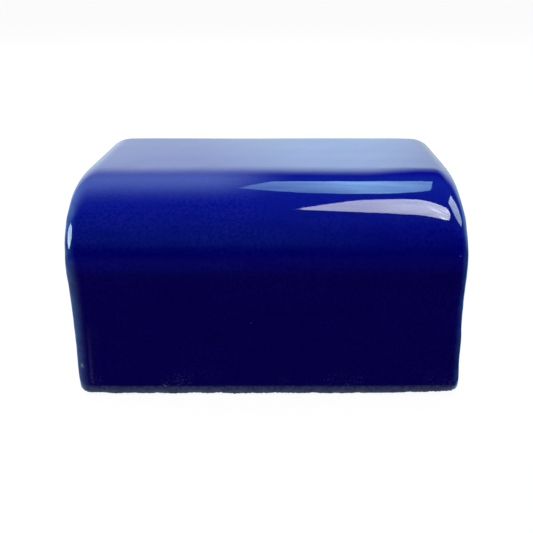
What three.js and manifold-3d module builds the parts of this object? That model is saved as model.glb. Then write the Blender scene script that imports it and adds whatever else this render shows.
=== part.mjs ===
// Edge-trim tile, of the kind called a V-cap: an L-shaped bar of fired clay that caps the edge of a
// tiled worktop or step, with a coat of cobalt glaze over its show faces. Millimetres, +Z up.
// X runs along the tile. The drop leg hangs at -Y, and the top leg runs back to +Y.
// The origin is the middle of the top leg's underside, which is bedded on the worktop.
import * as THREE from 'three';
import { mergeVertices } from 'three/addons/utils/BufferGeometryUtils.js';
import Module from 'manifold-3d';

// Overall sizes, over the glaze
const LENGTH = 108;
const DEPTH = 79;
const HEIGHT = 58;
const WALL = 10;

// Rounded edges of the glazed faces; the nose is a superellipse, a little fuller than an ellipse
const NOSE_DEPTH = 34;
const NOSE_HEIGHT = 22;
const NOSE_POWER = 2.25;
const BACK_ROLL = 4;
const LIP_ROLL = 2.4;
const END_ROLL = 3.4;
const BACK_CORNER_LENGTH = 6;
const BACK_CORNER_DEPTH = 8;
const FOOT_CORNER = 3;

// Bedding side, which stays bare clay
const INNER_FILLET = 14;
const ARRIS = 0.8;
const GROOVE_WIDTH = 4;
const GROOVE_DEPTH = 0.8;
const GROOVE_PITCH = 11;
const TOP_GROOVES = 4;
const DROP_GROOVES = 2;

// Glaze coat
const GLAZE_THICKNESS = 0.9;
const CONTACT_GAP = 0.3;
const GLAZE_LAP = 5;

// Fineness of the rounded edges
const NOSE_STEPS = 14;
const FILLET_STEPS = 8;
const ROLL_STEPS = 4;
const END_STEPS = 6;

// Planes of the finished tile
const TOP = WALL;
const FOOT = TOP - HEIGHT;
const BED_LENGTH = DEPTH - WALL - INNER_FILLET;
const BACK = BED_LENGTH / 2;
const FRONT = BACK - DEPTH;
const INNER = FRONT + WALL;
const DROP_BED_MIDDLE = (FOOT - INNER_FILLET) / 2;

const GLAZE_COLOUR = 0x0a1468;
const CLAY_COLOUR = 0xc08a62;

const wasm = await Module();
wasm.setup();

/** Points on an ellipse's arc in the YZ plane, from one angle to another, both ends included. */
function arc(centreY, centreZ, radiusY, radiusZ, from, to, steps) {
  const points = [];
  for (let i = 0; i <= steps; i += 1) {
    const angle = THREE.MathUtils.degToRad(from + ((to - from) * i) / steps);
    const y = centreY + radiusY * Math.cos(angle);
    const z = centreZ + radiusZ * Math.sin(angle);
    points.push(new THREE.Vector2(y, z));
  }
  return points;
}

/** The nose's quarter superellipse, from the top face down to the front face, drawn in by an inset. */
function noseCurve(inset) {
  const points = [];
  for (let i = 0; i <= NOSE_STEPS; i += 1) {
    const angle = (Math.PI / 2) * (i / NOSE_STEPS);
    const forward = (NOSE_DEPTH - inset) * Math.sin(angle) ** (2 / NOSE_POWER);
    const upward = (NOSE_HEIGHT - inset) * Math.cos(angle) ** (2 / NOSE_POWER);
    points.push(new THREE.Vector2(FRONT + NOSE_DEPTH - forward, TOP - NOSE_HEIGHT + upward));
  }
  return points;
}

/** Outline of the L section, anticlockwise seen from +X, with its glazed faces drawn in by insets. */
function sectionOutline({ face, back, foot }) {
  const front = FRONT + face;
  const top = TOP - face;
  const rear = BACK - back;
  const base = FOOT + foot;
  const backRoll = Math.max(BACK_ROLL - face, ARRIS);
  const lipRoll = Math.max(LIP_ROLL - face, ARRIS);
  return [
    new THREE.Vector2(rear - ARRIS, 0),
    new THREE.Vector2(rear, ARRIS),
    ...arc(rear - backRoll, top - backRoll, backRoll, backRoll, 0, 90, ROLL_STEPS),
    ...noseCurve(face),
    ...arc(front + lipRoll, base + lipRoll, lipRoll, lipRoll, 180, 270, ROLL_STEPS),
    new THREE.Vector2(INNER - ARRIS, base),
    new THREE.Vector2(INNER, base + ARRIS),
    ...arc(INNER + INNER_FILLET, -INNER_FILLET, INNER_FILLET, INNER_FILLET, 180, 90, FILLET_STEPS),
  ];
}

/** How far a corner rounded to an ellipse has drawn in, at a distance from the end of the tile. */
function cornerInset(distance, alongRadius, inwardRadius) {
  const reach = Math.max(alongRadius - distance, 0) / alongRadius;
  return inwardRadius * (1 - Math.sqrt(1 - reach * reach));
}

/** The tile's L bar with rounded ends, all its glazed faces drawn in by `skin`. */
function lBar(skin) {
  const halfLength = LENGTH / 2 - skin;
  const backCorner = BACK_CORNER_LENGTH - skin;
  const distances = [];
  for (let i = 0; i <= END_STEPS; i += 1) {
    distances.push(backCorner * (1 - Math.cos((Math.PI / 2) * (i / END_STEPS))));
  }
  const sections = distances.map((distance) => ({
    distance,
    outline: sectionOutline({
      face: skin + cornerInset(distance, END_ROLL - skin, END_ROLL - skin),
      back: skin + cornerInset(distance, backCorner, BACK_CORNER_DEPTH - skin),
      foot: skin + cornerInset(distance, FOOT_CORNER - skin, FOOT_CORNER - skin),
    }),
  }));
  const leftEnd = sections.map(({ distance, outline }) => ({ x: distance - halfLength, outline }));
  const rightEnd = sections.map(({ distance, outline }) => ({ x: halfLength - distance, outline }));
  return loft([...leftEnd, ...rightEnd.reverse()]);
}

/** A closed mesh through outlines of equal length, set in order along X. */
function loft(sections) {
  const count = sections[0].outline.length;
  const positions = sections.flatMap(({ x, outline }) => outline.flatMap((p) => [x, p.x, p.y]));
  const index = [];
  for (let i = 0; i + 1 < sections.length; i += 1) {
    for (let j = 0; j < count; j += 1) {
      const next = (j + 1) % count;
      const a = i * count + j;
      const b = i * count + next;
      const c = (i + 1) * count + next;
      const d = (i + 1) * count + j;
      index.push(a, b, c, a, c, d);
    }
  }
  const last = (sections.length - 1) * count;
  for (const [a, b, c] of THREE.ShapeUtils.triangulateShape(sections[0].outline, [])) {
    index.push(a, c, b);
  }
  for (const [a, b, c] of THREE.ShapeUtils.triangulateShape(sections.at(-1).outline, [])) {
    index.push(last + a, last + b, last + c);
  }
  const geometry = new THREE.BufferGeometry();
  geometry.setAttribute('position', new THREE.Float32BufferAttribute(positions, 3));
  geometry.setIndex(index);
  return geometry;
}

/** Everything further than `lap` inside the show faces, from end to end of the tile. */
function bareZone(lap) {
  const beyond = 2 * DEPTH;
  const shape = new THREE.Shape([
    new THREE.Vector2(beyond, -beyond),
    new THREE.Vector2(beyond, TOP - lap),
    ...noseCurve(lap),
    new THREE.Vector2(FRONT + lap, -beyond),
  ]);
  return extrudeAlongX(shape, 2 * LENGTH);
}

/** A shape drawn in the YZ plane, made into a bar along X and centred on the tile. */
function extrudeAlongX(shape, length) {
  const geometry = new THREE.ExtrudeGeometry(shape, { depth: length, bevelEnabled: false });
  geometry.translate(0, 0, -length / 2);
  const alongX = new THREE.Matrix4().set(0, 0, 1, 0, 1, 0, 0, 0, 0, 1, 0, 0, 0, 0, 0, 1);
  return geometry.applyMatrix4(alongX);
}

/** Centres of evenly pitched grooves about a middle line. */
function grooveCentres(count, middle) {
  return Array.from({ length: count }, (_, i) => middle + (i - (count - 1) / 2) * GROOVE_PITCH);
}

/** Long round-bottomed key grooves in the two bedding faces. */
function keyGrooves() {
  const halfWidth = GROOVE_WIDTH / 2;
  const upright = grooveCentres(TOP_GROOVES, 0).map((y) => grooveBar(y, 0, halfWidth, GROOVE_DEPTH));
  const level = grooveCentres(DROP_GROOVES, DROP_BED_MIDDLE).map((z) =>
    grooveBar(INNER, z, GROOVE_DEPTH, halfWidth),
  );
  return [...upright, ...level];
}

/** One key groove's cutter: an elliptical bar longer than the tile. */
function grooveBar(y, z, radiusY, radiusZ) {
  const steps = 4 * ROLL_STEPS;
  const outline = arc(y, z, radiusY, radiusZ, 0, 360, steps).slice(0, steps);
  return extrudeAlongX(new THREE.Shape(outline), 2 * LENGTH);
}

/** A three.js geometry as a manifold-3d solid. */
function toSolid(geometry) {
  const plain = geometry.clone();
  plain.deleteAttribute('normal');
  plain.deleteAttribute('uv');
  const merged = mergeVertices(plain);
  const mesh = new wasm.Mesh({
    numProp: 3,
    vertProperties: merged.getAttribute('position').array,
    triVerts: Uint32Array.from(merged.getIndex().array),
  });
  return new wasm.Manifold(mesh);
}

/** A manifold-3d solid as a flat-shaded three.js geometry. */
function toGeometry(solid) {
  const mesh = solid.getMesh();
  const geometry = new THREE.BufferGeometry();
  geometry.setAttribute('position', new THREE.BufferAttribute(mesh.vertProperties, 3));
  geometry.setIndex(new THREE.BufferAttribute(mesh.triVerts, 1));
  geometry.computeVertexNormals();
  return geometry;
}

/** The fired-clay L, set back under the glaze, flush with it past its lap, and grooved to be bedded. */
function clayBody() {
  const underGlaze = toSolid(lBar(GLAZE_THICKNESS + CONTACT_GAP));
  const pastGlaze = toSolid(lBar(0)).intersect(toSolid(bareZone(GLAZE_LAP + CONTACT_GAP)));
  const bar = underGlaze.add(pastGlaze);
  const grooved = keyGrooves().reduce((solid, groove) => solid.subtract(toSolid(groove)), bar);
  const fired = new THREE.MeshStandardMaterial({ color: CLAY_COLOUR, roughness: 0.9 });
  return namedMesh('clay_body', grooved, fired);
}

/** The glaze: a skin over the top, nose and drop, lapped round the ends, back edge and bottom lip. */
function glazeCoat() {
  const outside = toSolid(lBar(0));
  const inside = toSolid(lBar(GLAZE_THICKNESS));
  const coat = outside.subtract(inside).subtract(toSolid(bareZone(GLAZE_LAP)));
  const glassy = new THREE.MeshStandardMaterial({ color: GLAZE_COLOUR, roughness: 0.08 });
  return namedMesh('glaze_coat', coat, glassy);
}

function namedMesh(name, solid, material) {
  const mesh = new THREE.Mesh(toGeometry(solid), material);
  mesh.name = name;
  return mesh;
}

const tile = new THREE.Group();
tile.name = 'edge_trim_tile';
tile.add(clayBody(), glazeCoat());

export default tile;
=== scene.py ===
"""Cobalt-glazed edge-trim tile: an L of fired clay with a coat of glaze over its top, nose and drop.

Sizes are in millimetres and turned into metres where a mesh is made. X runs along the tile, the drop
leg hangs at -Y, and the top leg runs back to +Y with its underside at z = 0.
"""

import math

import bpy
import numpy as np
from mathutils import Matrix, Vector


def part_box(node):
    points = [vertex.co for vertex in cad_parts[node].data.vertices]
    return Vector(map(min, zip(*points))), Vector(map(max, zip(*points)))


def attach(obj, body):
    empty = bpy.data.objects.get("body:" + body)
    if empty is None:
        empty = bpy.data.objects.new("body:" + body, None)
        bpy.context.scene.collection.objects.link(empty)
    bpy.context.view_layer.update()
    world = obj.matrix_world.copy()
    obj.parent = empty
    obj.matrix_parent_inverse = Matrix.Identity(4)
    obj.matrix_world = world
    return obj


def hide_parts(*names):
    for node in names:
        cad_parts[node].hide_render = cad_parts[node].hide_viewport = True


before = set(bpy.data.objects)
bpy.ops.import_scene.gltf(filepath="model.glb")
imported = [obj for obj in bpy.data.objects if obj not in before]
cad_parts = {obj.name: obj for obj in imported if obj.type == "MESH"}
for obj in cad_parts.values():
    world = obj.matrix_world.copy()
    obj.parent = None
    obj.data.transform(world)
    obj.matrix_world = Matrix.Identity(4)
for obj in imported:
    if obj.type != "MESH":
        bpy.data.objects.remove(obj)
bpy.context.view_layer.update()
cad_low, cad_high = (np.array(corner) * 1000 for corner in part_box("glaze_coat"))

# The finished tile's planes, from the frame; the top leg's underside is at z = 0, so TOP is the wall
LENGTH = cad_high[0] - cad_low[0]
HALF_LENGTH = LENGTH / 2
FRONT, BACK = cad_low[1], cad_high[1]
FOOT, TOP = cad_low[2], cad_high[2]
INNER = FRONT + TOP

# Rounded edges of the section, and the corners at its back and foot. Towards the ends the lip loses
# a share of the section's inset, and no roll gets smaller than the smallest.
NOSE_DEPTH = 34.0
NOSE_HEIGHT = 22.0
NOSE_POWER = 2.25
BACK_ROLL = 2.6
LIP_HEIGHT = 3.2
LIP_DEPTH = 1.3
LIP_POWER = 1.15
LIP_LOSS = 0.4
SMALLEST_ROLL = 0.7
BACK_CORNER_LENGTH = 6.0
BACK_CORNER_DEPTH = 8.0
FOOT_CORNER = 2.2

# Each end's rolled edge: its reach along the tile, its depth, the share of that depth it keeps away
# from the nose, and how far the faces droop towards it
LEFT_END = {"reach": 4.6, "depth": 1.8, "slim": 1.0, "droop": 0.3}
RIGHT_END = {"reach": 5.0, "depth": 2.2, "slim": 0.5, "droop": 0.75}
# How far from an end the droop begins, and the share of it that is left away from the nose
DROOP_REACH = 13.0
SLIM_DROOP = 0.15
# The nose, as the ends see it: it comes in over a span of heights above the foot, and a share of it
# goes again over a span of distances behind the front
NOSE_ABOVE_FOOT = (14.0, 34.0)
NOSE_BEHIND_FRONT = (13.5, 43.5)
NOSE_LOSS = 0.6

# How the hand-pressed L is out of true: both ends lean to the right towards the foot, the right one
# is drawn in halfway down, the back is skewed to the right, and the foot lifts at its ends. Each span
# is measured from the top, the foot or the tile's end, and runs towards where the effect is full.
LEFT_LEAN = 1.05
LEFT_LEAN_BELOW_TOP = (8, 40)
RIGHT_LEAN = 0.35
RIGHT_LEAN_BELOW_TOP = (30, 58)
WAIST = 0.4
WAIST_BELOW_TOP = (22, 32)
WAIST_ABOVE_FOOT = (0, 10)
BACK_SKEW = 0.026
LEFT_FOOT_RISE = 0.4
LEFT_RISE_FROM_END = (11, 1)
RIGHT_FOOT_RISE = 0.55
RIGHT_RISE_FROM_END = (28, -2)
RISE_ABOVE_FOOT = (5, 0.3)
RIM_ABOVE_FOOT = (1.6, 0.2)

# Nicks in the glaze, and a spot of clay that shows at the foot: each is a place, measured from the
# front's lower left corner, and a radius. Their depths are shares of the glaze's thickness.
FRONT_CORNER = np.array([-HALF_LENGTH, FRONT, FOOT])
NICKS = (((2.3, 0.6, 9.2), 0.7), ((25.4, 0.1, 2.8), 0.5))
BARE_SPOTS = (((79.8, 1.5, -0.2), 1.3),)
NICK_DEPTH = 0.3
BARE_DEPTH = 0.1

# Unevenness, as (height, wavelength, seed) waves: of the glaze's margins, the foot's rim, the show
# faces, their outer edges, and the outlines of the nicks
BACK_MARGIN_WAVES = ((0.45, 26, 11), (0.25, 7, 13))
FOOT_MARGIN_WAVES = ((0.40, 22, 12), (0.25, 6, 14))
FOOT_RIM_WAVES = ((0.09, 6, 25), (0.09, 1.9, 26), (0.09, 1.0, 27))
FACE_WAVES = ((0.07, 46, 21), (0.010, 13, 22))
EDGE_WAVES = ((0.05, 9, 23), (0.03, 3.4, 24))
MARK_WAVES = ((0.35, 1.6, 41),)

# Glaze coat, its lap over the edges, how far its margin rounds off in a corner, the narrowest strip
# that it leaves beyond a roll, and the rounded bead at its margin
GLAZE_THICKNESS = 0.8
GLAZE_LAP = 5.0
FOOT_LAP = 4.4
LAP_CORNER = 2.0
NARROWEST_LAP = 0.5
BEAD_WIDTH = 1.3

# Where the glaze is thin over the edges, and at the foot also painted light from below: fully so
# at the first distance, and no more at the second
THIN_AT_LEFT = (0.2, 3.4)
THIN_AT_RIGHT = (0.2, 2.2)
THIN_GLAZE_AND_PAINTED_LIGHT_AT_FOOT = (1.8, 3.2)
THIN_AT_BACK = (0.5, 3.2)

# Bedding side, and how far the clay stands back from the glaze at the ends, back and foot
INNER_FILLET = 14.0
ARRIS = 0.8
GROOVE_WIDTH = 4.0
GROOVE_DEPTH = 0.8
GROOVE_PITCH = 11.0
TOP_GROOVES = 4
DROP_GROOVES = 2
CLAY_SETBACK = 0.5
BOND_GAP = 0.05

# Glaze colours and roughness
DEEP_BLUE = (0.006, 0.006, 0.415, 1)
DARK_BLUE = (0.000, 0.000, 0.33, 1)
EDGE_BLUE = (0.040, 0.150, 0.60, 1)
NICK_BLUE = (0.50, 0.65, 1.0, 1)
DUST = (0.13, 0.17, 0.85, 1)
FROST = (0.16, 0.24, 0.75, 1)
RIM_GREY = (0.36, 0.39, 0.60, 1)
MARGIN_GREY = (0.20, 0.21, 0.30, 1)
BARE_CLAY = (0.50, 0.38, 0.30, 1)
GLOSS_ROUGHNESS = 0.03
LIP_ROUGHNESS = 0.30
MARGIN_ROUGHNESS = 0.35
BARE_ROUGHNESS = 0.8

# Clay colours
BUFF = (0.62, 0.38, 0.23, 1)
PALE_BUFF = (0.74, 0.54, 0.38, 1)
GROG = (0.36, 0.18, 0.10, 1)

# Mesh fineness
CLAY_VOXEL = 0.6
CLAY_END_ROWS = 9
LAP_ROWS = 6
ROLL_ROWS = 36
MIDDLE_ROWS = 200

# The camera: its lens and pitch, and its distance and height as multiples of the tile's length
LENS = 50.0
SENSOR = 36.0
CAMERA_PITCH = math.radians(20.9)
CAMERA_DISTANCE = 1.69 * LENGTH
CAMERA_HEIGHT = 0.4695 * LENGTH

# The studio: the light cards' height above the tile, the floor's gap below it and its reach, which
# way the streaks on a card run, and the backdrop's colour
CEILING = 600.0
FLOOR_GAP = 0.3
FLOOR_REACH = 12000.0
STREAK_ANGLE = math.radians(-60)
BACKDROP = (0.97, 0.975, 0.98, 1)


def smoothstep(start, end, value):
    """0 at the start of a span or before it, 1 at its end or beyond, and a smooth change between.

    The end may be the lower of the two.
    """
    t = np.clip((np.asarray(value, float) - start) / (end - start), 0, 1)
    return t * t * (3 - 2 * t)


def wobble(points, wavelength, seed, count=7):
    """Smooth random height, about -1 to 1, at each point: a sum of seeded sine waves."""
    random = np.random.RandomState(seed)
    points = np.asarray(points, float)
    total = np.zeros(points.shape[:-1])
    for _ in range(count):
        direction = random.normal(size=points.shape[-1])
        direction /= np.linalg.norm(direction)
        stretch = random.uniform(0.7, 1.4)
        phase = random.uniform(0, 2 * math.pi)
        total += np.sin(points @ direction * (2 * math.pi / (wavelength * stretch)) + phase)
    return total * math.sqrt(2 / count) / 1.6


def waves(points, layers):
    """The sum of wobbles given as (height, wavelength, seed) layers."""
    return sum(height * wobble(points, wavelength, seed) for height, wavelength, seed in layers)


# ---------------------------------------------------------------- section of the tile


def line(start, end, steps):
    """Points from start to end, without the end."""
    t = np.arange(steps)[:, None] / steps
    return np.array(start) + t * (np.array(end) - np.array(start))


def arc(centre, radii, first, last, steps):
    """Points on an ellipse from one angle to another, in degrees, without the last."""
    angle = np.radians(first + (last - first) * np.arange(steps) / steps)
    return np.stack(
        [centre[0] + radii[0] * np.cos(angle), centre[1] + radii[1] * np.sin(angle)], axis=1
    )


def nose_curve(inset, steps):
    """The nose's quarter superellipse, from the top face down to the front face."""
    angle = math.pi / 2 * np.arange(steps) / steps
    forward = (NOSE_DEPTH - inset) * np.sin(angle) ** (2 / NOSE_POWER)
    upward = (NOSE_HEIGHT - inset) * np.cos(angle) ** (2 / NOSE_POWER)
    return np.stack([FRONT + NOSE_DEPTH - forward, TOP - NOSE_HEIGHT + upward], axis=1)


def lip_curve(face, foot, steps):
    """The bevelled lip at the bottom of the drop, from the front face round to the foot."""
    angle = math.pi / 2 * np.arange(steps) / steps
    depth = max(LIP_DEPTH - LIP_LOSS * face, SMALLEST_ROLL)
    inward = depth * (1 - np.cos(angle) ** (2 / LIP_POWER))
    downward = LIP_HEIGHT * (1 - np.sin(angle) ** (2 / LIP_POWER))
    return np.stack([FRONT + face + inward, FOOT + foot + downward], axis=1)


def show_outline(face, back, foot, lap_back, lap_foot):
    """The glazed side of the section, from the margin on the back edge round to the one on the foot."""
    front, top = FRONT + face, TOP - face
    rear, base = BACK - back, FOOT + foot
    back_roll = max(BACK_ROLL - face, SMALLEST_ROLL)
    margin_z = min(TOP - lap_back, top - back_roll - NARROWEST_LAP)
    margin_y = max(FRONT + lap_foot, front + LIP_DEPTH + NARROWEST_LAP)
    return np.concatenate(
        [
            line((rear, margin_z), (rear, top - back_roll), 8),
            arc((rear - back_roll, top - back_roll), (back_roll, back_roll), 0, 90, 12),
            line((rear - back_roll, top), (FRONT + NOSE_DEPTH, top), 44),
            nose_curve(face, 90),
            line((front, TOP - NOSE_HEIGHT), (front, base + LIP_HEIGHT), 44),
            lip_curve(face, foot, 16),
            line((front + LIP_DEPTH, base), (margin_y, base), 8),
            np.array([[margin_y, base]]),
        ]
    )


def corner_inset(distance, along, inward):
    """How far a corner rounded to an ellipse has drawn in, at a distance from the end."""
    reach = max(along - distance, 0) / along
    return inward * (1 - math.sqrt(1 - reach * reach))


def end_insets(distance, end, lapped=0.0):
    """Insets of the section at a distance from the tile's end.

    On the end face, lapped runs from 0 at the rolled edge to 1 at the glaze's margin.
    """
    soft = end["droop"] * max(1 - distance / DROOP_REACH, 0) ** 2
    roll = corner_inset(distance, end["reach"], end["depth"])
    slim_depth = end["slim"] * end["depth"]
    back = corner_inset(distance, BACK_CORNER_LENGTH, BACK_CORNER_DEPTH)
    foot = corner_inset(distance, FOOT_CORNER, FOOT_CORNER)
    return {
        "face": soft + roll + lapped * (GLAZE_LAP - end["depth"]),
        "slim_face": SLIM_DROOP * soft + end["slim"] * roll + lapped * (GLAZE_LAP - slim_depth),
        "back": back + lapped * LAP_CORNER,
        "foot": foot + lapped * LAP_CORNER,
    }


# ---------------------------------------------------------------- meshes


def make_object(name, vertices, faces, attributes=None):
    """A smooth-shaded mesh object, its vertices given in millimetres."""
    mesh = bpy.data.meshes.new(name)
    mesh.from_pydata((np.asarray(vertices) / 1000).tolist(), [], np.asarray(faces).tolist())
    for key, values in (attributes or {}).items():
        layer = mesh.attributes.new(key, "FLOAT", "POINT")
        layer.data.foreach_set("value", np.asarray(values, dtype=np.float32))
    mesh.validate()
    mesh.polygons.foreach_set("use_smooth", [True] * len(mesh.polygons))
    mesh.update()
    piece = bpy.data.objects.new(name, mesh)
    bpy.context.scene.collection.objects.link(piece)
    return piece


def grid_normals(grid):
    """Unit normals of a grid of points, out of the show faces."""
    along = np.gradient(grid, axis=0)
    across = np.gradient(grid, axis=1)
    normal = np.cross(across, along)
    return normal / np.maximum(np.linalg.norm(normal, axis=2, keepdims=True), 1e-9)


def end_rows(end):
    """(distance from the end, insets) pairs, from the margin on an end face to the full section."""
    rows = [(0.0, end_insets(0.0, end, 1 - i / LAP_ROWS)) for i in range(LAP_ROWS)]
    for i in range(ROLL_ROWS):
        distance = DROOP_REACH * (1 - math.cos(math.pi / 2 * i / ROLL_ROWS))
        rows.append((distance, end_insets(distance, end)))
    return rows


def show_rows():
    """(place, insets) pairs along the tile, from the left end face's margin to the right one's."""
    left = [(distance - HALF_LENGTH, insets) for distance, insets in end_rows(LEFT_END)]
    right = [(HALF_LENGTH - distance, insets) for distance, insets in end_rows(RIGHT_END)]
    full = {"face": 0.0, "slim_face": 0.0, "back": 0.0, "foot": 0.0}
    span = HALF_LENGTH - DROOP_REACH
    middle = [(x, full) for x in np.linspace(-span, span, MIDDLE_ROWS)]
    return left + middle + right[::-1]


def blended_outline(insets, **laps):
    """The show outline with its full inset round the nose and the slim one away from it."""
    back, foot = insets["back"], insets["foot"]
    full = show_outline(insets["face"], back, foot, **laps)
    slim = show_outline(insets["slim_face"], back, foot, **laps)
    behind_front, above_foot = full[:, 0] - FRONT, full[:, 1] - FOOT
    nose = smoothstep(*NOSE_ABOVE_FOOT, above_foot)
    nose *= 1 - NOSE_LOSS * smoothstep(*NOSE_BEHIND_FRONT, behind_front)
    return slim + nose[:, None] * (full - slim)


def show_grid():
    """Points over the show faces, one row for each station, and the unit normal at each point."""
    grid = []
    for x, insets in show_rows():
        lap_back = GLAZE_LAP + waves([[x]], BACK_MARGIN_WAVES)[0]
        lap_foot = FOOT_LAP + waves([[x]], FOOT_MARGIN_WAVES)[0]
        outline = blended_outline(insets, lap_back=lap_back, lap_foot=lap_foot)
        grid.append(np.column_stack([np.full(len(outline), x), outline]))
    grid = np.array(grid)
    grid[..., 0] += lean(grid)
    grid[..., 2] += foot_rise(grid)
    return grid, grid_normals(grid)


def foot_rise(grid):
    """How far the foot is lifted: it rises a little towards both ends, and its rim is ragged."""
    above_foot = grid[..., 2] - FOOT
    rise = RIGHT_FOOT_RISE * smoothstep(*RIGHT_RISE_FROM_END, HALF_LENGTH - grid[..., 0])
    rise += LEFT_FOOT_RISE * smoothstep(*LEFT_RISE_FROM_END, HALF_LENGTH + grid[..., 0])
    ragged = waves(grid * np.array([1, 0, 0]), FOOT_RIM_WAVES)
    near_foot = smoothstep(*RISE_ABOVE_FOOT, above_foot)
    rim = smoothstep(*RIM_ABOVE_FOOT, above_foot)
    return rise * near_foot + ragged * rim


def lean(grid):
    """How far each point is shifted along the tile: the L is a little skewed, as handmade ones are."""
    share = (grid[..., 0] + HALF_LENGTH) / LENGTH
    below_top, above_foot = TOP - grid[..., 2], grid[..., 2] - FOOT
    left = LEFT_LEAN * smoothstep(*LEFT_LEAN_BELOW_TOP, below_top)
    right = RIGHT_LEAN * smoothstep(*RIGHT_LEAN_BELOW_TOP, below_top)
    waist = smoothstep(*WAIST_BELOW_TOP, below_top) * smoothstep(*WAIST_ABOVE_FOOT, above_foot)
    right -= WAIST * waist
    back = BACK_SKEW * np.maximum(grid[..., 1] - FRONT - NOSE_DEPTH / 2, 0)
    return left * (1 - share) + right * share + back


def handmade(grid):
    """How far each point of the show faces stands off the true shape: soft waves, and lumpy edges on
    the drop."""
    near_end = 1 - smoothstep(0.5, 5, HALF_LENGTH - np.abs(grid[..., 0]))
    on_drop = smoothstep(17.5, 5.5, grid[..., 1] - FRONT)
    return waves(grid, FACE_WAVES) + waves(grid, EDGE_WAVES) * near_end * on_drop


def marked(grid, marks):
    """1 inside any of a list of ragged round marks, 0 away from them all."""
    depth = np.zeros(grid.shape[:2])
    for place, radius in marks:
        away = np.linalg.norm(grid - FRONT_CORNER - place, axis=2) + waves(grid, MARK_WAVES)
        depth = np.maximum(depth, smoothstep(radius, 0.4 * radius, away))
    return depth


def bead_height(grid):
    """The share of the coat's thickness at each point, which falls to nothing in a rounded bead at its
    margins, and the distance to the nearest margin."""
    shape = grid.shape[:2]
    steps_u = np.linalg.norm(np.diff(grid, axis=0), axis=2)
    steps_v = np.linalg.norm(np.diff(grid, axis=1), axis=2)
    u = np.concatenate([np.zeros((1, shape[1])), np.cumsum(steps_u, axis=0)])
    v = np.concatenate([np.zeros((shape[0], 1)), np.cumsum(steps_v, axis=1)], axis=1)
    margin = np.minimum(np.minimum(u, u[-1] - u), np.minimum(v, v[:, -1:] - v))
    inward = np.clip(1 - margin / BEAD_WIDTH, 0, 1)
    return np.sqrt(1 - inward**2), margin


def build_glaze():
    """The glaze coat: an outer and an inner sheet that meet at a rounded bead all round."""
    finish, normal = show_grid()
    height, margin = bead_height(finish)
    finish = finish + handmade(finish)[..., None] * normal
    nick, bare = marked(finish, NICKS), marked(finish, BARE_SPOTS)
    sunk = 1 - height + NICK_DEPTH * nick + BARE_DEPTH * bare
    outer = finish - (sunk * GLAZE_THICKNESS)[..., None] * normal
    inner = finish - GLAZE_THICKNESS * normal
    rows, cols = finish.shape[:2]
    number = np.arange(rows * cols).reshape(rows, cols)
    inner_number = number.copy()
    inner_number[1:-1, 1:-1] = rows * cols + np.arange((rows - 2) * (cols - 2)).reshape(rows - 2, -1)

    def quads(index):
        corners = (index[:-1, :-1], index[:-1, 1:], index[1:, 1:], index[1:, :-1])
        return np.stack([c.ravel() for c in corners], axis=1)

    def on_both(values):
        return np.concatenate([values.ravel(), values[1:-1, 1:-1].ravel()])

    faces = np.concatenate([quads(number), quads(inner_number)[:, ::-1]])
    vertices = np.concatenate([outer.reshape(-1, 3), inner[1:-1, 1:-1].reshape(-1, 3)])
    marks = {
        # Thin glaze over the edges, and painted light from below along the foot
        "thin_and_foot_light": on_both(edge_thinness_and_foot_light(finish)),
        "margin": on_both(margin),
        "nick": on_both(nick),
        "bare": on_both(bare),
    }
    return make_object("glaze_skin", vertices, faces, marks)


def edge_thinness_and_foot_light(grid):
    """1 where molten glaze has drawn away from a convex edge, 0 on the flats. Along the foot it also
    marks painted light, a paler blue that stands in for light from below.
    """
    straight = grid[..., 0] - lean(grid)
    thick_at = (
        smoothstep(*THIN_AT_LEFT, HALF_LENGTH + straight),
        smoothstep(*THIN_AT_RIGHT, HALF_LENGTH - straight),
        # Along the foot this paler band is also painted light, standing in for light from below
        smoothstep(*THIN_GLAZE_AND_PAINTED_LIGHT_AT_FOOT, grid[..., 2] - FOOT),
        smoothstep(*THIN_AT_BACK, BACK - grid[..., 1]),
    )
    return 1 - np.min(thick_at, axis=0)


def clay_outline(face, back, foot):
    """The whole L section of the clay, anticlockwise seen from +X, grooved on its bedding faces."""
    front, top = FRONT + face, TOP - face
    rear, base = BACK - back, FOOT + foot
    back_roll = max(BACK_ROLL - face, SMALLEST_ROLL)
    bed_middle = (FOOT - INNER_FILLET) / 2
    fillet = (INNER + INNER_FILLET, -INNER_FILLET)
    drop_side = [(INNER - depth, z) for z, depth in groove_points(DROP_GROOVES, bed_middle)]
    top_side = groove_points(TOP_GROOVES, 0.0)
    return np.concatenate(
        [
            line((rear, ARRIS), (rear, top - back_roll), 2),
            arc((rear - back_roll, top - back_roll), (back_roll, back_roll), 0, 90, 8),
            line((rear - back_roll, top), (FRONT + NOSE_DEPTH, top), 4),
            nose_curve(face, 40),
            line((front, TOP - NOSE_HEIGHT), (front, base + LIP_HEIGHT), 4),
            lip_curve(face, foot, 8),
            [(front + LIP_DEPTH, base), (INNER - ARRIS, base), (INNER, base + ARRIS)],
            drop_side,
            arc(fillet, (INNER_FILLET, INNER_FILLET), 180, 90, 24),
            top_side,
            [(rear - ARRIS, 0.0)],
        ]
    )


def groove_points(count, middle):
    """(place, depth) pairs that walk up across a row of round-bottomed grooves."""
    pairs = []
    for i in range(count):
        centre = middle + (i - (count - 1) / 2) * GROOVE_PITCH
        for angle in np.linspace(math.pi, 0, 9):
            place = centre + GROOVE_WIDTH / 2 * math.cos(angle)
            pairs.append((place, GROOVE_DEPTH * math.sin(angle)))
    return pairs


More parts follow.
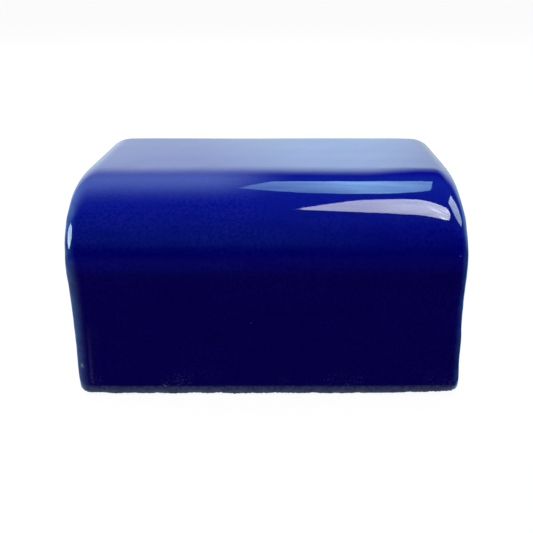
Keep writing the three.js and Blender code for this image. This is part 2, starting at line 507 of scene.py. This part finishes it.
def build_clay():
    """The fired-clay L under the glaze, remeshed fine and roughened where it is bare."""
    under_glaze = GLAZE_THICKNESS + BOND_GAP
    half = HALF_LENGTH - CLAY_SETBACK
    left, right = [], []
    for angle in np.linspace(0, math.pi / 2, CLAY_END_ROWS):
        distance = BACK_CORNER_LENGTH * (1 - math.cos(angle))
        insets = end_insets(distance, LEFT_END)
        back, foot = insets["back"] + CLAY_SETBACK, insets["foot"] + CLAY_SETBACK
        outline = clay_outline(insets["face"] + under_glaze, back, foot)
        left.append(np.column_stack([np.full(len(outline), distance - half), outline]))
        right.append(np.column_stack([np.full(len(outline), half - distance), outline]))
    grid = np.array(left + right[::-1])
    grid[..., 0] += lean(grid)
    count, size = grid.shape[:2]
    number = np.arange(count * size).reshape(count, size)
    ahead = np.roll(number, -1, axis=1)
    sides = np.stack([number[:-1], ahead[:-1], ahead[1:], number[1:]], axis=-1).reshape(-1, 4)
    faces = sides.tolist() + [number[0][::-1].tolist(), number[-1].tolist()]
    mesh = bpy.data.meshes.new("clay_biscuit")
    mesh.from_pydata((grid.reshape(-1, 3) / 1000).tolist(), [], faces)
    piece = bpy.data.objects.new("clay_biscuit", mesh)
    bpy.context.scene.collection.objects.link(piece)
    remesh = piece.modifiers.new("fine", "REMESH")
    remesh.mode = "VOXEL"
    remesh.voxel_size = CLAY_VOXEL / 1000
    remesh.use_smooth_shade = True
    apply_modifiers(piece)
    roughen(piece)
    return piece


def apply_modifiers(piece):
    """Replaces a piece's mesh with the result of its modifiers."""
    depsgraph = bpy.context.evaluated_depsgraph_get()
    result = bpy.data.meshes.new_from_object(piece.evaluated_get(depsgraph))
    piece.modifiers.clear()
    piece.data = result


def roughen(piece):
    """Pushes the clay's surface in and out: sagging, grain and pits."""
    mesh = piece.data
    count = len(mesh.vertices)
    place = np.empty(count * 3)
    normal = np.empty(count * 3)
    mesh.vertices.foreach_get("co", place)
    mesh.vertices.foreach_get("normal", normal)
    place, normal = place.reshape(-1, 3) * 1000, normal.reshape(-1, 3)
    sag = 0.10 * wobble(place, 24, 31)
    grain = 0.05 * wobble(place, 2.6, 32, count=12)
    pits = 0.22 * smoothstep(0.75, 1.25, wobble(place, 3.1, 33, count=9))
    place += normal * (sag + grain - pits)[:, None]
    mesh.vertices.foreach_set("co", (place / 1000).ravel())
    mesh.update()


# ---------------------------------------------------------------- materials


class Nodes:
    """A small helper that adds and links shader nodes."""

    def __init__(self, tree):
        self.tree = tree

    def add(self, kind, inputs=None, **settings):
        node = self.tree.nodes.new(kind)
        for key, value in settings.items():
            setattr(node, key, value)
        for key, value in (inputs or {}).items():
            if isinstance(value, bpy.types.NodeSocket):
                self.tree.links.new(value, node.inputs[key])
            else:
                node.inputs[key].default_value = value
        return node

    def link(self, output, socket):
        self.tree.links.new(output, socket)

    def noise(self, where, scale, detail):
        inputs = {"Vector": where, "Scale": scale, "Detail": detail}
        return self.add("ShaderNodeTexNoise", inputs).outputs["Fac"]

    def maths(self, operation, a, b=0.0, c=0.0):
        return self.add("ShaderNodeMath", {0: a, 1: b, 2: c}, operation=operation).outputs[0]

    def remap(self, value, low, high, to_low=0.0, to_high=1.0):
        inputs = {0: value, 1: low, 2: high, 3: to_low, 4: to_high}
        return self.add("ShaderNodeMapRange", inputs, interpolation_type="SMOOTHSTEP").outputs[0]

    def mix(self, factor, a, b, blend="MIX"):
        node = self.add("ShaderNodeMix", data_type="RGBA", blend_type=blend)
        for socket, value in ((node.inputs[0], factor), (node.inputs[6], a), (node.inputs[7], b)):
            if isinstance(value, bpy.types.NodeSocket):
                self.tree.links.new(value, socket)
            else:
                socket.default_value = value
        return node.outputs[2]

    def product(self, *values):
        result = values[0]
        for value in values[1:]:
            result = self.maths("MULTIPLY", result, value)
        return result

    def grey(self, value):
        return self.add("ShaderNodeCombineColor", {0: value, 1: value, 2: value}).outputs[0]

    def attribute(self, name):
        return self.add("ShaderNodeAttribute", attribute_name=name).outputs["Fac"]

    def bump(self, height, strength, distance, normal=None):
        inputs = {"Height": height, "Strength": strength, "Distance": distance}
        if normal is not None:
            inputs["Normal"] = normal
        return self.add("ShaderNodeBump", inputs).outputs[0]


def new_material(name):
    """An empty node material: (material, node helper, its Principled shader, object coordinates)."""
    material = bpy.data.materials.new(name)
    material.use_nodes = True
    nodes = Nodes(material.node_tree)
    shader = material.node_tree.nodes["Principled BSDF"]
    where = nodes.add("ShaderNodeTexCoord").outputs["Object"]
    return material, nodes, shader, where


def height_ramp(nodes, where, from_foot, to_foot, low=0.0, high=1.0):
    """Runs from low to high between two heights above the foot, in millimetres."""
    height = nodes.add("ShaderNodeSeparateXYZ", {0: where}).outputs[2]
    return nodes.remap(height, (FOOT + from_foot) / 1000, (FOOT + to_foot) / 1000, low, high)


def dust_specks(nodes, where):
    """Fine pale specks: a scatter of pinholes all over, and dusty patches low on the drop."""
    low = height_ramp(nodes, where, 10, 3)
    patches = nodes.remap(nodes.noise(where, 75, 3), 0.48, 0.64)
    grains = nodes.remap(nodes.noise(where, 1900, 3), 0.50, 0.72, 0.0, 0.75)
    cells = nodes.add("ShaderNodeTexVoronoi", {"Vector": where, "Scale": 150.0})
    pinholes = nodes.remap(cells.outputs["Distance"], 0.02, 0.05, 0.8, 0.0)
    sparse = nodes.remap(nodes.noise(where, 70, 1), 0.5, 0.6)
    dusty = nodes.product(low, patches, grains)
    return nodes.maths("MAXIMUM", dusty, nodes.product(pinholes, sparse))


def glaze_body(nodes, where):
    """The coat's own blue: clouds, drawn-out streaks along the tile, and a fine mottle."""
    streaked = nodes.add("ShaderNodeMapping", {"Vector": where, "Scale": (0.18, 1, 1)}).outputs[0]
    cloud = nodes.remap(nodes.noise(where, 45, 3), 0.35, 0.65, 0.0, 0.55)
    streak = nodes.remap(nodes.noise(streaked, 420, 3), 0.45, 0.72, 0.0, 0.85)
    mottle = nodes.remap(nodes.noise(where, 1200, 3), 0.38, 0.62, 0.0, 0.9)
    shade = nodes.maths("MAXIMUM", cloud, nodes.maths("MAXIMUM", streak, mottle))
    return nodes.mix(shade, DEEP_BLUE, DARK_BLUE)


def glaze_colour(nodes, where, lip, margin, bare):
    """The body blue, paler where the coat is thin, dusty or rubbed, and clay where it is bare. Along the
    foot the thin coat's paler blue is also painted light, standing in for light from below.
    """
    thin_and_foot_light, nick = nodes.attribute("thin_and_foot_light"), nodes.attribute("nick")
    broken = nodes.remap(nodes.noise(where, 260, 3), 0.35, 0.65, 0.4, 1.0)
    rim = height_ramp(nodes, where, 2.0, 0.2, 0.0, 0.9)
    frosted = nodes.product(lip, nodes.remap(nodes.noise(where, 900, 3), 0.40, 0.64, 0.0, 0.6))
    layers = (
        # The thin coat's paler blue; along the foot it is also painted light from below
        (nodes.product(thin_and_foot_light, broken), EDGE_BLUE),
        (dust_specks(nodes, where), DUST),
        (frosted, FROST),
        (nodes.product(rim, broken), RIM_GREY),
        (nodes.product(margin, broken), MARGIN_GREY),
        (nick, NICK_BLUE),
        (bare, BARE_CLAY),
    )
    colour = glaze_body(nodes, where)
    for amount, tint in layers:
        colour = nodes.mix(amount, colour, tint)
    return colour


def glaze_material():
    """Deep cobalt gloss glaze, lighter where it thins over edges and dull at its margins. Along the foot
    the lighter blue is also painted light from below.
    """
    material, nodes, shader, where = new_material("cobalt_glaze")
    margin = nodes.remap(nodes.attribute("margin"), 0.2, 1.6, 1.0, 0.0)
    bare = nodes.attribute("bare")
    lip = height_ramp(nodes, where, 3.4, 2.4)
    nodes.link(glaze_colour(nodes, where, lip, margin, bare), shader.inputs["Base Color"])

    matt = nodes.maths("MULTIPLY", lip, LIP_ROUGHNESS)
    rough = nodes.maths("MAXIMUM", nodes.maths("MULTIPLY", margin, MARGIN_ROUGHNESS), matt)
    rough = nodes.maths("MAXIMUM", rough, nodes.maths("MULTIPLY", bare, BARE_ROUGHNESS))
    nodes.link(nodes.maths("MAXIMUM", rough, GLOSS_ROUGHNESS), shader.inputs["Roughness"])

    peel = nodes.bump(nodes.noise(where, 230, 1), 0.5, 0.000012)
    gritty = nodes.maths("MULTIPLY", nodes.noise(where, 1500, 3), matt)
    nodes.link(nodes.bump(gritty, 1.0, 0.0004, peel), shader.inputs["Normal"])
    shader.inputs["IOR"].default_value = 1.5
    return material


def clay_material():
    """Buff fired clay: mottled and speckled with grog."""
    material, nodes, shader, where = new_material("fired_clay")
    cloud = nodes.remap(nodes.noise(where, 60, 4), 0.35, 0.65)
    specks = nodes.remap(nodes.noise(where, 1100, 1), 0.66, 0.74)
    colour = nodes.mix(specks, nodes.mix(cloud, BUFF, PALE_BUFF), GROG)
    nodes.link(colour, shader.inputs["Base Color"])

    rough = nodes.remap(nodes.noise(where, 300, 2), 0.3, 0.7, 0.8, 0.95)
    nodes.link(rough, shader.inputs["Roughness"])
    grain = nodes.bump(nodes.noise(where, 2200, 3), 0.7, 0.00012)
    nodes.link(grain, shader.inputs["Normal"])
    return material


def floor_material():
    """A matt floor that glows, so that it stays as pale as the backdrop."""
    material, _, shader, _ = new_material("pale_floor")
    shader.inputs["Base Color"].default_value = (0.10, 0.10, 0.10, 1)
    shader.inputs["Roughness"].default_value = 1.0
    shader.inputs["Specular IOR Level"].default_value = 0.0
    shader.inputs["Emission Color"].default_value = (1, 1, 1, 1)
    shader.inputs["Emission Strength"].default_value = 0.94
    return material


# ---------------------------------------------------------------- studio


def make_camera():
    """A 50 mm lens, close in front of the tile and looking down on it by about 21 degrees."""
    data = bpy.data.cameras.new("camera")
    data.lens = LENS
    data.sensor_width = SENSOR
    data.clip_start = 0.01
    camera = bpy.data.objects.new("camera", data)
    camera.location = (0, (FRONT - CAMERA_DISTANCE) / 1000, (TOP + CAMERA_HEIGHT) / 1000)
    camera.rotation_euler = (math.pi / 2 - CAMERA_PITCH, 0, 0)
    bpy.context.scene.collection.objects.link(camera)
    bpy.context.scene.camera = camera


def make_floor():
    """A wide pale floor under the foot of the tile, kept out of its reflections."""
    corners = [(-1, -1), (1, -1), (1, 1), (-1, 1)]
    vertices = [(x * FLOOR_REACH, y * FLOOR_REACH, FOOT - FLOOR_GAP) for x, y in corners]
    floor = make_object("floor", vertices, [(0, 1, 2, 3)])
    floor.data.materials.append(floor_material())
    floor.visible_glossy = False
    floor.visible_diffuse = False


def area_light(name, place, side, power):
    """A square lamp at a place in millimetres, facing the tile and kept out of its reflections."""
    data = bpy.data.lights.new(name, "AREA")
    data.shape = "SQUARE"
    data.size = side / 1000
    data.energy = power
    lamp = bpy.data.objects.new(name, data)
    spot = Vector(place) / 1000
    lamp.location = spot
    lamp.rotation_euler = (-spot).to_track_quat("-Z", "Y").to_euler()
    lamp.visible_glossy = False
    bpy.context.scene.collection.objects.link(lamp)


def pane(centre, length, widths, turn=0.0, slant=0.0, bows=(0.0, 0.0), fullest=0.5, steps=24):
    """The outline of a window pane: its length along x and its widths at the left and right ends.

    It is turned anticlockwise in degrees. The slant is how far it leans along x for each step across.
    The bows are how far its far and near sides curve outwards, fullest at a share of the length.
    """
    t = np.linspace(0, 1, steps)
    half = (widths[0] + t * (widths[1] - widths[0])) / 2
    rise = t ** (math.log(0.5) / math.log(fullest))
    far_side = half + 4 * bows[0] * rise * (1 - rise)
    near_side = -half - 4 * bows[1] * rise * (1 - rise)
    across = np.concatenate([far_side, near_side[::-1]])
    along = length * (np.concatenate([t, t[::-1]]) - 0.5) + slant * across
    angle = math.radians(turn)
    x = centre[0] + along * math.cos(angle) - across * math.sin(angle)
    y = centre[1] + along * math.sin(angle) + across * math.cos(angle)
    return np.stack([x, y], axis=1)


def card_material(name, span, colour, levels, streaking):
    """A glow whose strength runs along x through three levels, with streaks towards its right end."""
    start, middle, end = levels
    material = bpy.data.materials.new(name)
    material.use_nodes = True
    material.node_tree.nodes.clear()
    nodes = Nodes(material.node_tree)
    where = nodes.add("ShaderNodeTexCoord").outputs["Object"]
    along = nodes.add("ShaderNodeSeparateXYZ", {0: where}).outputs[0]
    share = nodes.remap(along, span[0] / 1000, span[1] / 1000)
    first = nodes.remap(share, 0.0, 0.5, start, middle)
    second = nodes.remap(share, 0.5, 1.0, 0.0, end - middle)
    uneven = nodes.remap(nodes.noise(where, 14, 2), 0.3, 0.7, 0.86, 1.1)
    grain = {"Vector": where, "Rotation": (0, 0, STREAK_ANGLE), "Scale": (12, 1, 1)}
    turned = nodes.add("ShaderNodeMapping", grain, vector_type="TEXTURE").outputs[0]
    streaks = nodes.remap(nodes.noise(turned, 75, 1), 0.48, 0.68)
    streaks = nodes.product(streaks, nodes.remap(share, 0.55, 0.9, 0.0, streaking))
    streaks = nodes.maths("ADD", streaks, 1.0)
    level = nodes.product(nodes.maths("ADD", first, second), uneven, streaks)
    glow = nodes.add("ShaderNodeEmission", {"Color": (*colour, 1), "Strength": level})
    output = nodes.add("ShaderNodeOutputMaterial")
    nodes.link(glow.outputs[0], output.inputs["Surface"])
    return material


def light_card(name, outline, colour, levels, streaking=0.0):
    """A glowing card overhead, seen only in the gloss."""
    span = outline[:, 0].min(), outline[:, 0].max()
    vertices = [(x, y, TOP + CEILING) for x, y in outline]
    card = make_object(name, vertices, [tuple(range(len(outline)))])
    card.data.materials.append(card_material(name, span, colour, levels, streaking))
    card.visible_camera = False
    card.visible_diffuse = False
    card.visible_shadow = False


def make_lights():
    """Soft lamps for the body colour, and four window cards for the highlights on the nose and ends."""
    area_light("key", (0, 836, 996), 900, 5.2)
    area_light("fill", (0, -192, 1286), 900, 8.1)
    area_light("left_fill", (-1200, 100, 300), 700, 4.0)
    area_light("right_fill", (1200, 100, 300), 700, 5.0)
    far_window = pane((135, 600), 295, (235, 310), slant=0.2, bows=(0, 130), fullest=0.55)
    near_window = pane((168, -25), 285, (0, 125), turn=-23, slant=-0.2, bows=(200, 10), fullest=0.3)
    right_window = pane((680, 170), 640, (330, 180), turn=-32, bows=(0, 130))
    left_window = pane((-1580, -700), 2200, (250, 250), turn=32, bows=(150, 150))
    light_card("far_window", far_window, (0.44, 0.86, 1.1), (2.3, 4.5, 2.9))
    light_card("near_window", near_window, (0.92, 0.98, 1.0), (7.5, 9.0, 10.5), 1.0)
    light_card("right_window", right_window, (0.75, 0.93, 1.0), (6.5, 6.5, 6.5))
    light_card("left_window", left_window, (0.70, 0.93, 1.0), (9.0, 18.0, 12.0))


def sweep_lobes(nodes, x, y, z):
    """(level, tint) pairs for the pale sweep behind the tile, by the direction that a ray leaves in.

    X is to the right, y away behind the tile, and z up.
    """
    behind = nodes.remap(y, -0.05, 0.25)
    right = nodes.remap(x, 0.35, 0.65)
    above_floor = nodes.remap(z, -0.1, 0.0)
    far = nodes.remap(z, 0.25, 0.36, 0.83, 1.0)

    # Its top edge is soft, and dips a little right of the middle
    dip = nodes.product(nodes.remap(x, 0.12, 0.22), nodes.remap(x, 0.42, 0.27), nodes.remap(z, 0.20, 0.28))
    low = nodes.remap(nodes.maths("MULTIPLY_ADD", dip, 0.10, z), 0.20, 0.50, 1.0, 0.0)
    sweep = nodes.product(behind, low, above_floor, far, nodes.maths("MULTIPLY_ADD", right, -0.3, 1.0))

    # Its colour shifts along it, and a blue glow rises above it at the left
    patch = nodes.product(nodes.remap(x, -0.10, 0.06), nodes.remap(x, 0.30, 0.12), sweep)
    right_back = nodes.product(nodes.remap(x, 0.12, 0.42), sweep)
    left = nodes.remap(x, -0.09, 0.045, 1.0, 0.0)
    rise = nodes.remap(z, 0.34, 0.62, 0.27, 0.62)
    fall = nodes.remap(z, 0.66, 0.98, 1.0, 0.0)
    return (
        (sweep, (0.82, 0.94, 0.76)),
        (patch, (0.46, 0.78, 1.02)),
        (right_back, (0.22, 0.40, 0.55)),
        (nodes.product(right, sweep), (0.0, 0.18, 0.5)),
        (nodes.product(left, rise, fall, behind), (0.88, 1.28, 1.9)),
    )


def room_lobes(nodes, x, y, z):
    """(level, tint) pairs for the dim room in front of the tile, and the table it stands on."""
    behind = nodes.remap(y, -0.05, 0.25)

    # The table: under the tile, out to its left, and behind its right end
    under = nodes.remap(z, -0.92, -0.55, 0.24, 0.0)
    left_table = nodes.product(nodes.remap(x, -0.36, -1.0, 0.0, 0.65), nodes.remap(z, 0.15, -0.1))
    right_rim = nodes.product(nodes.remap(x, 0.3, 0.5), nodes.remap(x, 0.93, 0.80), behind)
    right_rim = nodes.product(right_rim, nodes.remap(z, -0.1, -0.3))

    # A small pale thing low at the front left
    corner = nodes.product(nodes.remap(x, -0.225, -0.30), nodes.remap(x, -0.42, -0.33))
    corner = nodes.product(corner, nodes.remap(z, -0.40, -0.46), nodes.remap(z, -0.54, -0.48))

    # The ceiling, dimmer towards the camera at the right, and the faint warm and blue of the room
    dim = nodes.product(nodes.remap(x, 0.0, 0.2, 0.0, 0.7), nodes.remap(y, -0.1, -0.5))
    dome = nodes.product(nodes.remap(z, 0.35, 0.65), nodes.maths("MULTIPLY_ADD", dim, -1.0, 1.0))
    warm_low = nodes.product(nodes.remap(y, 0.2, -0.3), nodes.remap(z, 0.3, 0.0))
    deep_blue = nodes.product(nodes.remap(y, -0.2, -0.5), nodes.remap(z, -0.42, -0.15))
    deep_blue = nodes.product(deep_blue, nodes.remap(z, 0.30, 0.0), nodes.remap(x, 0.2, -0.15, 0.5, 1.0))
    return (
        (under, (0.90, 1.0, 1.0)),
        (left_table, (0.70, 1.0, 1.05)),
        (right_rim, (0.6, 1.2, 1.9)),
        (corner, (0.15, 0.18, 0.30)),
        (dome, (0.025, 0.12, 0.12)),
        (warm_low, (0.035, 0.0, 0.0)),
        (deep_blue, (0.0, 0.03, 0.55)),
    )


def make_world():
    """Surroundings: what the gloss reflects, a neutral grey for diffuse light, and pale to the camera."""
    world = bpy.data.worlds.new("studio")
    bpy.context.scene.world = world
    world.use_nodes = True
    tree = world.node_tree
    tree.nodes.clear()
    nodes = Nodes(tree)
    direction = nodes.add("ShaderNodeTexCoord").outputs["Generated"]
    x, y, z = nodes.add("ShaderNodeSeparateXYZ", {0: direction}).outputs
    colour = (0.0, 0.0, 0.0, 1)
    for level, tint in sweep_lobes(nodes, x, y, z) + room_lobes(nodes, x, y, z):
        lobe = nodes.mix(1.0, (*tint, 1), nodes.grey(level), "MULTIPLY")
        colour = nodes.mix(1.0, colour, lobe, "ADD")

    rays = nodes.add("ShaderNodeLightPath").outputs
    neutral = nodes.grey(nodes.add("ShaderNodeRGBToBW", {0: colour}).outputs[0])
    colour = nodes.mix(rays["Is Diffuse Ray"], colour, neutral)
    backdrop = nodes.add("ShaderNodeBackground", {"Color": BACKDROP}).outputs[0]
    reflected = nodes.add("ShaderNodeBackground", {"Color": colour}).outputs[0]
    is_camera = rays["Is Camera Ray"]
    both = nodes.add("ShaderNodeMixShader", {0: is_camera, 1: reflected, 2: backdrop}).outputs[0]
    nodes.link(both, nodes.add("ShaderNodeOutputWorld").inputs["Surface"])


# ---------------------------------------------------------------- the scene

make_camera()
make_floor()
make_lights()
make_world()
bpy.context.scene.view_settings.view_transform = "Standard"

glaze = build_glaze()
glaze.data.materials.append(glaze_material())
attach(glaze, "root")
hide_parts("glaze_coat")

clay = build_clay()
clay.data.materials.clear()
clay.data.materials.append(clay_material())
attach(clay, "root")
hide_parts("clay_body")
